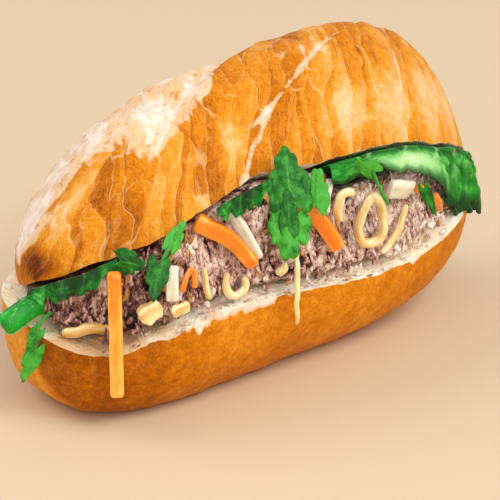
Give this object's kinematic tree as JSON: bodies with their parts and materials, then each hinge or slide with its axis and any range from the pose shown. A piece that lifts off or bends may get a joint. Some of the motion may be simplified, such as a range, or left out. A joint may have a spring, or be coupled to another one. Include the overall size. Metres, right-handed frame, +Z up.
{
  "type": "banh mi sandwich",
  "caption": "Crusty slashed roll slit along its front and filled with minced pork, carrot, daikon, onion, cucumber, lettuce and coriander.",
  "frame": {"origin": "middle of the flat underside that the roll rests on", "axes": "+X along the roll to its right end, -Y out of the open front, +Z up"},
  "size_m": [0.2098, 0.098, 0.1025],
  "materials": {
    "crust": "crisp baked crust, golden orange with floury slashes, over white crumb",
    "meat": "moist minced and shredded pork, pinkish brown",
    "carrot": "pickled carrot, wet orange",
    "daikon": "pickled daikon, wet ivory white",
    "onion": "fried and soft onion, translucent straw yellow",
    "cucumber": "cucumber, speckled green skin over pale flesh",
    "lettuce": "frilly lettuce leaf, waxy green with a pale rib",
    "coriander": "fresh coriander leaf, green"
  },
  "bodies": {
    "root": {"roll": "crust", "meat": "meat", "carrot_left": "carrot", "carrot_middle": "carrot", "carrot_right": "carrot", "carrot_shred_1": "carrot", "carrot_shred_2": "carrot", "carrot_shred_3": "carrot", "daikon_middle": "daikon", "daikon_left": "daikon", "daikon_right": "daikon", "daikon_sliver": "daikon", "onion_ring": "onion", "onion_arc": "onion", "onion_hook": "onion", "onion_top": "onion", "onion_curl": "onion", "onion_small": "onion", "onion_slab_1": "onion", "onion_slab_2": "onion", "onion_left": "onion", "onion_strand_1": "onion", "onion_strand_2": "onion", "cucumber": "cucumber", "lettuce": "lettuce", "lettuce_frill_left": "lettuce", "lettuce_frill_middle": "lettuce", "coriander_centre": "coriander", "coriander_leaflet": "coriander", "coriander_left": "coriander", "coriander_by_carrot": "coriander", "coriander_far_left": "coriander", "coriander_right": "coriander", "coriander_tip": "coriander"}
  },
  "joints": []
}
